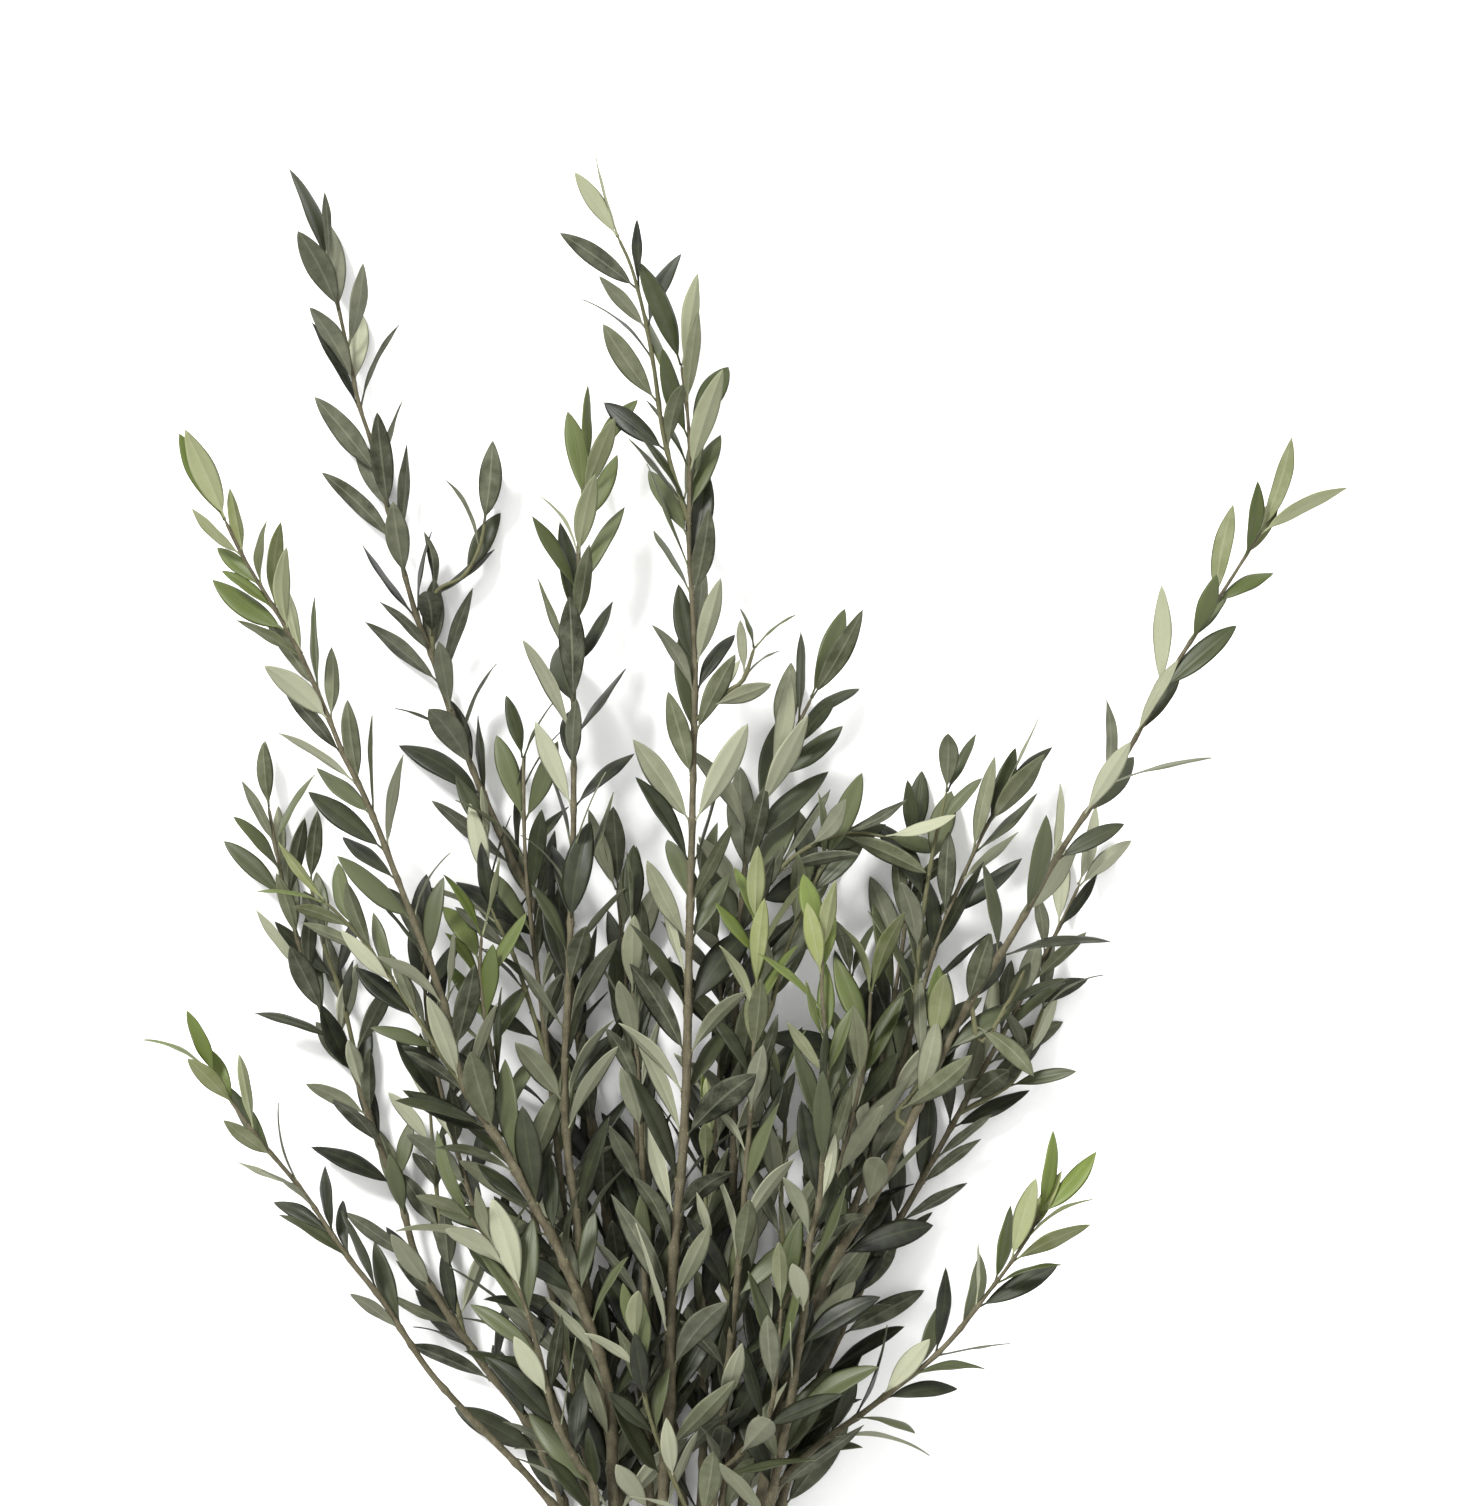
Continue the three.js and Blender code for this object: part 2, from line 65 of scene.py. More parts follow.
HEAP = {"ground": 4, "cushion": 10, "cushion_from": 90, "cushion_over": 150, "pitch": 17,
        "packed": 0.3, "crest_from": 20, "crest_over": 240, "fall_from": 350, "fall_over": 350,
        "fall": 0.45}
STEM = {"segment": 45, "tip_radius": 0.8, "shoot_radius": 1.3, "shoot_leaf": 0.85, "shoot_bare": 12}
LEAF = {"from": 132, "spacing": (23, 16), "spacing_jitter": 0.25, "open": (34, 20),
        "open_jitter": 13, "turn_jitter": 20, "length_jitter": 0.2, "tip_length": 0.78,
        "width": 0.25, "width_jitter": 0.05, "curl": 16, "curl_jitter": 30,
        "missing": 0.08, "tries": 8, "gap": 0.9, "petiole": 0.12, "rooted": 0.55, "flatten": 0.62,
        "face_up": (0.15, 1.9), "upper_share": 0.5, "terminal_open": 9, "terminal_length": 0.8,
        "tip_gap": 12, "floor": 2.2, "lie_flat_below": 14}

# x and y of each stem from its cut end to its tip, in millimetres, the uppermost branches first.
BRANCHES = [
    {"name": "branch_front_left", "layer": 4, "seed": 52, "butt": 2.9, "leaf": 51,
     "path": [(-25, 20), (-34, 140), (-43, 162), (-54, 186), (-65, 232), (-78, 264),
              (-96, 288)],
     "shoots": []},
    {"name": "branch_front_middle", "layer": 4, "seed": 61, "butt": 2.7, "leaf": 51,
     "path": [(4, 16), (20, 140), (37, 167), (51, 185), (56, 214), (58, 244)],
     "shoots": [{"at": 0.45, "path": [(6, 150), (-8, 190), (-14, 226)]}]},
    {"name": "branch_front_right", "layer": 4, "seed": 37, "butt": 3, "leaf": 51,
     "path": [(16, 2), (52, 140), (68, 232), (72, 275), (77, 300), (80, 360), (78, 398),
              (78, 420)],
     "shoots": []},
    {"name": "branch_bright_left", "layer": 3, "seed": 33, "butt": 3.3, "leaf": 53,
     "path": [(-16, 6), (-26, 140), (-28, 200), (-50, 264), (-64, 290), (-80, 320),
              (-100, 352), (-110, 393), (-132, 451), (-148, 491), (-160, 515), (-174, 548),
              (-189, 578), (-211, 614), (-221, 634)],
     "shoots": [{"at": 0.49, "path": [(-112, 368), (-125, 388), (-146, 418), (-160, 434), (-170, 443)]}]},
    {"name": "branch_tall_middle", "layer": 3, "seed": 16, "butt": 3.5, "leaf": 59,
     "path": [(-4, 12), (-1, 140), (2, 186), (4, 256), (10, 332), (12, 410), (14, 498),
              (15, 564), (12, 620), (12, 675), (8, 712)],
     "shoots": [{"at": 0.885, "path": [(0, 672), (-6, 712), (-11, 738), (-17, 760), (-24, 776)]},
                {"at": 0.745, "leaf": 32, "path": [(31, 547), (39, 553), (45, 570)]}]},
    {"name": "branch_middle", "layer": 3, "seed": 24, "butt": 2.8, "leaf": 49,
     "path": [(10, 4), (24, 140), (35, 243), (42, 328), (45, 378), (46, 413), (45, 433)],
     "shoots": [{"at": 0.55, "path": [(24, 268), (20, 300), (22, 324)]}]},
    {"name": "branch_right_low", "layer": 3, "seed": 48, "butt": 2.5, "leaf": 47, "bare_to": 175,
     "path": [(36, 22), (50, 128), (68, 162), (100, 188), (120, 204), (140, 222),
              (162, 250), (176, 269), (187, 288)],
     "shoots": []},
    {"name": "branch_far_left", "layer": 2, "seed": 3, "butt": 2.5, "leaf": 47, "bare_to": 225,
     "path": [(-32, 24), (-44, 112), (-66, 148), (-100, 185), (-120, 209), (-142, 243),
              (-160, 266), (-182, 298), (-207, 328), (-226, 356)],
     "shoots": []},
    {"name": "branch_young_left", "layer": 2, "seed": 50, "butt": 2.6, "leaf": 49,
     "path": [(-20, 14), (-36, 140), (-62, 270), (-82, 345), (-92, 398), (-92, 426)],
     "shoots": []},
    {"name": "branch_straight_left", "layer": 2, "seed": 19, "butt": 3.2, "leaf": 57,
     "path": [(-10, 0), (-24, 140), (-42, 268), (-50, 336), (-48, 410), (-46, 482),
              (-46, 550), (-44, 600), (-43, 635), (-38, 662)],
     "shoots": []},
    {"name": "branch_core_middle", "layer": 2, "seed": 27, "butt": 2.8, "leaf": 51,
     "path": [(2, 20), (-8, 140), (-10, 250), (-12, 330), (-16, 398), (-16, 430)],
     "shoots": []},
    {"name": "branch_core_upright", "layer": 2, "seed": 70, "butt": 2.8, "leaf": 51,
     "path": [(10, 10), (30, 140), (55, 228), (85, 303), (100, 363), (103, 398)],
     "shoots": [{"at": 0.6, "path": [(58, 290), (60, 330), (58, 352)]}]},
    {"name": "branch_right_long", "layer": 2, "seed": 66, "butt": 3.5, "leaf": 55, "gap": 1.4,
     "path": [(26, 0), (48, 140), (61, 200), (79, 252), (108, 301), (146, 380), (175, 427),
              (200, 470), (229, 512), (253, 555), (280, 597), (300, 628)],
     "shoots": [{"at": 0.5, "path": [(116, 336), (128, 352), (134, 372)]},
                {"at": 0.6, "path": [(158, 372), (172, 392), (180, 408)]}]},
    {"name": "branch_fill_left", "layer": 1, "seed": 21, "butt": 2.7, "leaf": 50,
     "path": [(-14, 18), (-40, 140), (-72, 228), (-98, 293), (-118, 368), (-122, 412)],
     "shoots": []},
    {"name": "branch_shaded_left", "layer": 1, "seed": 40, "butt": 2.8, "leaf": 51,
     "path": [(-2, 4), (-22, 140), (-48, 268), (-60, 368), (-70, 453), (-72, 515)],
     "shoots": [{"at": 0.7, "path": [(-75, 410), (-88, 440), (-90, 472)]}]},
    {"name": "branch_core_right", "layer": 1, "seed": 63, "butt": 2.8, "leaf": 51,
     "path": [(8, 24), (18, 140), (20, 243), (25, 318), (28, 393), (20, 440)],
     "shoots": []},
    {"name": "branch_spreading", "layer": 1, "seed": 9, "butt": 3.4, "leaf": 61,
     "path": [(16, 6), (30, 140), (34, 293), (36, 400), (42, 470), (58, 512), (74, 545)],
     "shoots": [{"at": 0.78, "path": [(62, 462), (90, 476), (112, 474)]},
                {"at": 0.66, "path": [(50, 380), (62, 420), (80, 462)]}]},
    {"name": "branch_right_bushy", "layer": 1, "seed": 14, "butt": 3.2, "leaf": 57,
     "path": [(32, 12), (50, 140), (80, 243), (114, 343), (136, 418), (154, 463),
              (170, 495)],
     "shoots": [{"at": 0.76, "path": [(128, 420), (134, 462), (142, 498)]}]},
    {"name": "branch_left_slanting", "layer": 0, "seed": 12, "butt": 2.9, "leaf": 49,
     "path": [(-22, 10), (-42, 100), (-66, 168), (-96, 210), (-124, 254), (-135, 290),
              (-148, 324), (-160, 358), (-178, 393), (-192, 440), (-198, 468), (-202, 490)],
     "shoots": [{"at": 0.68, "path": [(-164, 390), (-174, 420), (-181, 452)]},
                {"at": 0.44, "path": [(-113, 268), (-117, 300), (-120, 338)]}]},
    {"name": "branch_tall_left", "layer": 0, "seed": 5, "butt": 3.3, "leaf": 55, "face_up": (0, 0.5),
     "path": [(4, 2), (-4, 140), (-32, 293), (-50, 405), (-60, 424), (-88, 484),
              (-106, 528), (-119, 566), (-128, 590), (-140, 636), (-149, 672), (-156, 694),
              (-164, 732), (-172, 766)],
     "shoots": [{"at": 0.735, "path": [(-118, 596), (-103, 606), (-95, 620), (-92, 634)]}]},
    {"name": "branch_core_left", "layer": 0, "seed": 31, "butt": 2.8, "leaf": 51,
     "path": [(12, 22), (8, 140), (-8, 240), (-16, 340), (-22, 418), (-25, 448)],
     "shoots": []},
    {"name": "branch_right_upright", "layer": 0, "seed": 8, "butt": 2.9, "leaf": 51,
     "path": [(22, 8), (40, 140), (74, 243), (102, 328), (116, 394), (123, 442),
              (125, 470)],
     "shoots": [{"at": 0.62, "path": [(98, 330), (92, 372), (94, 404)]}]},
    {"name": "branch_right_shaded", "layer": 0, "seed": 77, "butt": 2.9, "leaf": 51,
     "path": [(40, 16), (60, 140), (90, 226), (130, 300), (160, 354), (186, 402),
              (202, 433), (210, 450)],
     "shoots": [{"at": 0.72, "path": [(176, 350), (186, 372), (192, 388)]}]},
]


# ---- small tools ---------------------------------------------------------------------------------

def mix(pair, t):
    return pair[0] + (pair[1] - pair[0]) * t


def smooth(x):
    x = np.clip(x, 0, 1)
    return x * x * (3 - 2 * x)


def unit(v):
    return v / np.linalg.norm(v)


class Random:
    """A seeded generator of numbers from 0 to 1, and the same spread to -1..1."""

    def __init__(self, seed):
        self.state = seed * 7919 + 12345

    def next(self):
        self.state = (self.state * 1664525 + 1013904223) % 4294967296
        return self.state / 4294967296

    def spread(self):
        return self.next() * 2 - 1


class Curve:
    """A smooth curve through points, measured by its length."""

    STEPS = 200
    NUDGE = 0.0001

    def __init__(self, points):
        self.points = np.array(points, dtype=float)
        self.shares = np.linspace(0, 1, self.STEPS + 1)
        laid = np.array([self.at_share(t) for t in self.shares])
        steps = np.linalg.norm(np.diff(laid, axis=0), axis=1)
        self.reached = np.concatenate(([0], np.cumsum(steps)))
        self.length = self.reached[-1]

    def at_share(self, t):
        points = self.points
        last = len(points) - 1
        i = min(int(t * last), last - 1)
        w = t * last - i
        before = points[i - 1] if i > 0 else 2 * points[0] - points[1]
        after = points[i + 2] if i + 2 <= last else 2 * points[last] - points[last - 1]
        p, q = points[i], points[i + 1]
        leave, arrive = (q - before) / 2, (after - p) / 2
        return (p + leave * w + (3 * (q - p) - 2 * leave - arrive) * w ** 2
                + (2 * (p - q) + leave + arrive) * w ** 3)

    def share_of(self, travelled):
        return np.interp(travelled * self.length, self.reached, self.shares)

    def point(self, travelled):
        return self.at_share(self.share_of(travelled))

    def tangent(self, travelled):
        t = self.share_of(travelled)
        ends = [self.at_share(min(max(t + nudge, 0), 1)) for nudge in (-self.NUDGE, self.NUDGE)]
        return unit(ends[1] - ends[0])


# ---- stems ---------------------------------------------------------------------------------------

def heap_height(layer, y):
    cushion = HEAP["cushion"] * smooth((y - HEAP["cushion_from"]) / HEAP["cushion_over"])
    risen = smooth((y - HEAP["crest_from"]) / HEAP["crest_over"])
    rise = HEAP["packed"] + (1 - HEAP["packed"]) * risen
    fall = HEAP["fall"] * smooth((y - HEAP["fall_from"]) / HEAP["fall_over"])
    return HEAP["ground"] + cushion + layer * HEAP["pitch"] * (rise - fall)


class Stem:
    def __init__(self, points, branch, base, tip, leaf_size, leaf_start, turn):
        layer = branch["layer"]
        self.curve = Curve([p if len(p) == 3 else (*p, heap_height(layer, p[1])) for p in points])
        self.length = self.curve.length
        count = max(2, math.floor(self.length / STEM["segment"] + 0.5))
        self.chain = np.array([self.curve.point(i / count) for i in range(count + 1)])
        self.branch = branch["name"]
        self.face_up = branch.get("face_up", LEAF["face_up"])
        self.base, self.tip = base, tip
        self.leaf_size, self.leaf_start, self.turn = leaf_size, leaf_start, turn
        self.nodes = []

    def radius(self, share):
        return mix((self.base, self.tip), share)

    def axis(self, share):
        stretches = len(self.chain) - 1
        i = min(int(share * stretches), stretches - 1)
        return self.chain[i] + (self.chain[i + 1] - self.chain[i]) * (share * stretches - i)

    def frame(self, share):
        along = self.curve.tangent(share)
        side = unit(np.cross(along, UP))
        return self.axis(share), along, side, np.cross(side, along)


def stems_of(branch):
    main = Stem(branch["path"], branch, branch["butt"], STEM["tip_radius"], branch["leaf"], 0,
                branch["seed"] * 37)
    bare_to = branch.get("bare_to", LEAF["from"])
    above = [i / 100 for i in range(100) if main.curve.point(i / 100)[1] > bare_to]
    main.leaf_start = above[0] * main.length
    own = branch["leaf"] * STEM["shoot_leaf"]
    shoots = [Stem([main.axis(shoot["at"]), *shoot["path"]], branch, STEM["shoot_radius"],
                   STEM["tip_radius"], shoot.get("leaf", own), STEM["shoot_bare"],
                   branch["seed"] * 53 + i * 90)
              for i, shoot in enumerate(branch["shoots"])]
    return [main, *shoots]


# ---- leaves: where each stands and how it lies ---------------------------------------------------

class Leaf:
    def __init__(self, stem, distance, turn, opening, size, random):
        turned = math.radians(turn + random.spread() * LEAF["turn_jitter"])
        opened = math.radians(opening + random.spread() * LEAF["open_jitter"])
        self.length = size * (1 + random.spread() * LEAF["length_jitter"])
        self.width = self.length * (LEAF["width"] + random.spread() * LEAF["width_jitter"])
        curl = LEAF["curl"] + random.spread() * LEAF["curl_jitter"]
        facing = 1 if random.next() < LEAF["upper_share"] else -1
        face_up = mix(stem.face_up, random.next())
        self.share = distance / stem.length
        axis, stem_along, side, over = stem.frame(self.share)
        out = unit(side * math.cos(turned) + over * (math.sin(turned) * LEAF["flatten"]))
        along = unit(stem_along * math.cos(opened) + out * math.sin(opened))
        self.root = axis + out * (LEAF["rooted"] * stem.radius(self.share))
        lowest = (LEAF["floor"] - self.root[2]) / self.length
        if along[2] < lowest:
            level = math.sqrt((1 - lowest * lowest) / (along[0] ** 2 + along[1] ** 2))
            along = np.array((along[0] * level, along[1] * level, lowest))
        tip_height = self.root[2] + along[2] * self.length
        flat = min(max(1 - (tip_height - LEAF["floor"]) / LEAF["lie_flat_below"], 0), 1)
        upper = stem_along * math.sin(opened) - out * math.cos(opened) + UP * facing * face_up
        upper = upper + (UP * facing - upper) * flat
        self.upper = unit(upper - along * np.dot(upper, along))
        self.along = along
        self.across = np.cross(along, self.upper)
        self.curl = math.radians(curl * (1 - flat))
        self.out, self.stem_along = out, stem_along
        self.stem = stem

    def bend(self):
        return self.curl if abs(self.curl) >= 1e-3 else 1e-3

    def midrib(self, share):
        bend = self.bend()
        return (self.root + self.along * (self.length * math.sin(bend * share) / bend)
                - self.upper * (self.length * (1 - math.cos(bend * share)) / bend))

    def measure(self):
        """The blade as two triangles, used to see whether it fits."""
        middle = self.midrib(0.5)
        reach = self.across * (self.width / 2)
        foot, tip = self.midrib(LEAF["petiole"]), self.midrib(1)
        left, right = middle - reach, middle + reach
        self.middle = middle
        self.triangles = np.array([(foot, left, right), (tip, right, left)])
        self.rim = np.array([(foot, left), (left, tip), (tip, right), (right, foot)])


def pierce(starts, ends, triangles):
    """For every stretch and every triangle, whether the stretch goes through it."""
    a, b, c = (triangles[None, :, i] for i in range(3))
    way = ends - starts
    length = np.linalg.norm(way, axis=1)[:, None]
    way = (way / length)[:, None]
    edge1, edge2 = b - a, c - a
    normal = np.cross(edge1, edge2)
    facing = (way * normal).sum(-1)
    sign = np.sign(facing)
    offset = starts[:, None] - a
    first = sign * (way * np.cross(offset, edge2)).sum(-1)
    second = sign * (way * np.cross(edge1, offset)).sum(-1)
    depth = -sign * (offset * normal).sum(-1)
    size = np.abs(facing)
    inside = (size > 0) & (first >= 0) & (second >= 0) & (first + second <= size) & (depth >= 0)
    return inside & (depth < length * size)


def sides(triangles):
    """The starts and ends of the triangles' sides."""
    return triangles.reshape(-1, 3), np.roll(triangles, -1, axis=1).reshape(-1, 3)


def leaf_crosses(leaf, others):
    """Whether a leaf would cross any of the others, with the gap kept on both of its faces."""
    if not others["leaves"]:
        return False
    middles = np.array(others["middles"])
    lengths = np.array(others["lengths"])
    near = np.linalg.norm(middles - leaf.middle, axis=1) <= (lengths + leaf.length) / 2
    if not near.any():
        return False
    theirs = np.array(others["triangles"])[near].reshape(-1, 3, 3)
    lift = leaf.upper * LEAF["gap"]
    mine = np.concatenate((leaf.triangles - lift, leaf.triangles + lift))
    return pierce(*sides(mine), theirs).any() or pierce(*sides(theirs), mine).any()


def stretch_distance(p1, q1, p2, q2):
    """The least distance between every first stretch and every second one."""
    d1, d2 = (q1 - p1)[:, None], (q2 - p2)[None]
    r = p1[:, None] - p2[None]
    a, e = (d1 * d1).sum(-1), (d2 * d2).sum(-1)
    b, c, f = (d1 * d2).sum(-1), (d1 * r).sum(-1), (d2 * r).sum(-1)
    spread = a * e - b * b
    s = np.where(spread > 0, np.clip((b * f - c * e) / np.where(spread > 0, spread, 1), 0, 1), 0)
    t = (b * s + f) / e
    s = np.where(t < 0, np.clip(-c / a, 0, 1), np.where(t > 1, np.clip((b - c) / a, 0, 1), s))
    t = np.clip(t, 0, 1)
    apart = r + d1 * s[..., None] - d2 * t[..., None]
    return np.linalg.norm(apart, axis=-1)


def leaf_touches_stem(leaf, stretches, branch):
    """Whether a stem of another branch passes through the blade or too near to its rim."""
    others = stretches["branch"] != branch
    starts, ends = stretches["start"][others], stretches["end"][others]
    near = stretches["radius"][others] + LEAF["gap"]
    gaps = stretch_distance(leaf.rim[:, 0], leaf.rim[:, 1], starts, ends)
    return (gaps < near).any() or pierce(starts, ends, leaf.triangles).any()


def place_leaf(there, make):
    """Draws a leaf until it fits between what is already in the bunch."""
    for _ in range(LEAF["tries"]):
        leaf = make()
        leaf.measure()
        if leaf_crosses(leaf, there) or leaf_touches_stem(leaf, there["stretches"], leaf.stem.branch):
            continue
        there["leaves"].append(leaf)
        there["middles"].append(leaf.middle)
        there["lengths"].append(leaf.length)
        there["triangles"].append(leaf.triangles)
        return [leaf]
    return []


def leaves_of(stem, gap, random, there):
    leaves = []
    distance, turn = stem.leaf_start, stem.turn
    while distance < stem.length - LEAF["tip_gap"]:
        share = distance / stem.length
        size = stem.leaf_size * mix((1, LEAF["tip_length"]), share)
        stem.nodes.append(distance)
        for side in (0, 180):
            if random.next() > LEAF["missing"]:
                leaves += place_leaf(there, lambda: Leaf(
                    stem, distance, turn + side, mix(LEAF["open"], share), size, random))
        turn += 90
        spacing = mix(LEAF["spacing"], share) * (1 + random.spread() * LEAF["spacing_jitter"])
        distance += gap * spacing
    size = stem.leaf_size * LEAF["terminal_length"]
    for side in (0, 180):
        leaves += place_leaf(there, lambda: Leaf(
            stem, stem.length - 1, turn + side, LEAF["terminal_open"], size, random))
    return leaves


def grow_bunch():
    """Every branch with its stems and leaves, in the CAD's working frame."""
    stems = {branch["name"]: stems_of(branch) for branch in BRANCHES}
    every = [stem for group in stems.values() for stem in group]
    stretches = {
        "start": np.concatenate([stem.chain[:-1] for stem in every]),
        "end": np.concatenate([stem.chain[1:] for stem in every]),
        "radius": np.concatenate([stem.radius(np.arange(len(stem.chain) - 1) / (len(stem.chain) - 1))
                                  for stem in every]),
        "branch": np.array([stem.branch for stem in every for _ in stem.chain[1:]]),
    }
    there = {"leaves": [], "middles": [], "lengths": [], "triangles": [], "stretches": stretches}
    bunch = {}
    for branch in BRANCHES:
        random = Random(branch["seed"])
        group = stems[branch["name"]]
        leaves = [leaf for stem in group
                  for leaf in leaves_of(stem, branch.get("gap", 1), random, there)]
        bunch[branch["name"]] = (group, leaves)
    return bunch


# ---- meshes --------------------------------------------------------------------------------------

BARK, UPPER, UNDER, CUT = range(4)
BLADE = {
    "stations": 20,
    "columns": (-1, -0.75, -0.45, -0.16, 0, 0.16, 0.45, 0.75, 1),
    "petiole": 0.09,  # share of the length that is stalk
    "stalk": 0.55,  # its radius in mm
    "thickness": 0.45,
    "keel": 0.42,  # how far the midrib stands out below
    "groove": 0.16,  # how deep it lies above
    "fullness": 0.78,  # below 1 the outline is fuller than a sine
    "twist": 22,
    "sway": 0.09,
    "ripple": 0.3,
}
TWIG = {"ring": 3.5, "sides": 12, "swelling": 0.3, "swelling_length": 2.4, "bare_node": 27,
        "roughness": 0.035, "cut_slant": 0.55, "bud": 1.1}

# How each branch differs in colour: tone is its share of leaves darkened with painted shade, set
# higher on the lower branches deep in the heap; young how far the leaves near its tips have the fresh
# yellow-green of new growth.
LOOKS = {
    "branch_front_left": (0.25, 0.2), "branch_front_middle": (0.3, 0.3),
    "branch_front_right": (0.25, 1.0), "branch_bright_left": (0.25, 0.8),
    "branch_tall_middle": (0.45, 0.25), "branch_middle": (0.35, 1.0),
    "branch_right_low": (0.45, 1.0), "branch_far_left": (0.4, 0.8),
    "branch_young_left": (0.35, 0.7), "branch_straight_left": (0.45, 0.4),
    "branch_core_middle": (0.6, 0.1), "branch_core_upright": (0.45, 0.6),
    "branch_right_long": (0.45, 0.6), "branch_fill_left": (0.7, 0.0),
    "branch_shaded_left": (0.6, 0.1), "branch_core_right": (0.7, 0.0),
    "branch_spreading": (0.45, 0.1), "branch_right_bushy": (0.6, 0.1),
    "branch_left_slanting": (0.55, 0.1), "branch_tall_left": (0.95, 0.0),
    "branch_core_left": (0.7, 0.0), "branch_right_upright": (0.65, 0.1),
    "branch_right_shaded": (0.65, 0.0),
}


class Build:
    """Gathers vertices, faces, materials, texture places and colour tones for one mesh."""

    def __init__(self):
        self.vertices, self.faces, self.materials, self.places, self.tones = [], [], [], [], []
        self.count = 0

    def add(self, vertices, faces, materials, places, tone):
        """places gives each vertex its u and v, tone is (random, youth, painted shade) for all of them."""
        self.vertices.append(vertices)
        self.faces += [tuple(int(i) + self.count for i in face) for face in faces]
        self.materials += list(materials)
        self.places.append(places)
        self.tones.append(np.tile((*tone, 1.0), (len(vertices), 1)))
        self.count += len(vertices)

    def mesh(self, name, materials):
        mesh = bpy.data.meshes.new(name)
        mesh.from_pydata((np.concatenate(self.vertices) * MM).tolist(), [], self.faces)
        for material in materials:
            mesh.materials.append(material)
        mesh.polygons.foreach_set("material_index", self.materials)
        mesh.polygons.foreach_set("use_smooth", [True] * len(mesh.polygons))
        corners = np.zeros(len(mesh.loops), dtype=int)
        mesh.loops.foreach_get("vertex_index", corners)
        layer = mesh.uv_layers.new(name="UVMap")
        layer.data.foreach_set("uv", np.concatenate(self.places)[corners].ravel())
        tone = mesh.color_attributes.new("tone", "FLOAT_COLOR", "POINT")
        tone.data.foreach_set("color", np.concatenate(self.tones).ravel())
        mesh.validate()
        return mesh


def tube_faces(rings, around):
    """The faces of a closed tube of rings, without its ends."""
    faces = []
    for i in range(rings - 1):
        for j in range(around):
            k = (j + 1) % around
            faces.append((i * around + j, i * around + k, (i + 1) * around + k, (i + 1) * around + j))
    return faces


def blade_grid():
    """The faces and materials common to all blades: upper side first, then the underside."""
    columns = BLADE["columns"]
    top = len(columns)
    around = 2 * top - 2
    rings = BLADE["stations"] + 1
    faces = tube_faces(rings, around)
    materials = [UPPER if i % around < top - 1 else UNDER for i in range(len(faces))]
    faces.append(tuple(range(around))[::-1])
    faces.append(tuple(range((rings - 1) * around, rings * around)))
    return faces, materials + [UNDER, UNDER]


def blade_section(share, columns, width, character):
    """Across and height, in mm, of the ring of points round a blade at a share of its length."""
    stalk_share = BLADE["petiole"]
    blade = min(max((share - stalk_share) / (1 - stalk_share), 0), 1)
    full = width / 2 * math.sin(math.pi * blade ** character["widest"]) ** BLADE["fullness"]
    stalk = BLADE["stalk"] * (1 - 0.75 * blade)
    half = max(full, stalk * (1 - 0.9 * blade ** 6))
    opened = float(smooth((share - stalk_share * 0.7) / 0.1))
    rounded = stalk * np.sqrt(np.clip(1 - columns ** 2, 0, 1))
    thin = BLADE["thickness"] / 2 * (1 - 0.7 * columns ** 2)
    rib = np.exp(-(columns / 0.17) ** 2) * (1 - 0.75 * blade)
    camber = -character["cup"] * half * columns ** 2
    camber = camber + character["fold"] * half * np.abs(columns)
    wave = math.sin(blade * 11 + character["phase"]) * BLADE["ripple"] * math.sin(math.pi * blade)
    camber = camber + wave * columns * np.abs(columns)
    top = mix((rounded, thin - rib * BLADE["groove"] + camber), opened)
    bottom = mix((-rounded, -thin - rib * BLADE["keel"] + camber), opened)
    across = np.concatenate((columns, columns[-2:0:-1])) * half
    return across, np.concatenate((top, bottom[-2:0:-1]))


def blade_vertices(leaf, character):
    columns = np.array(BLADE["columns"], dtype=float)
    slip = leaf.stem.curve.point(leaf.share) - leaf.stem.axis(leaf.share)
    rings, places = [], []
    bend = leaf.bend()
    for i in range(BLADE["stations"] + 1):
        share = i / BLADE["stations"]
        turned = bend * share
        normal = leaf.upper * math.cos(turned) + leaf.along * math.sin(turned)
        twist = math.radians(character["twist"]) * share
        across = leaf.across * math.cos(twist) + normal * math.sin(twist)
        normal = normal * math.cos(twist) - leaf.across * math.sin(twist)
        centre = leaf.midrib(share) + slip * (1 - share) ** 2
        centre = centre + leaf.across * (character["sway"] * leaf.length * share * share)
        x, h = blade_section(share, columns, leaf.width, character)
        rings.append(centre + x[:, None] * across + h[:, None] * normal)
        v = np.concatenate((columns, columns[-2:0:-1])) / 2 + 0.5
        places.append(np.column_stack((np.full(len(v), share), v)))
    return np.concatenate(rings), np.concatenate(places)


BLADE_FACES, BLADE_MATERIALS = blade_grid()


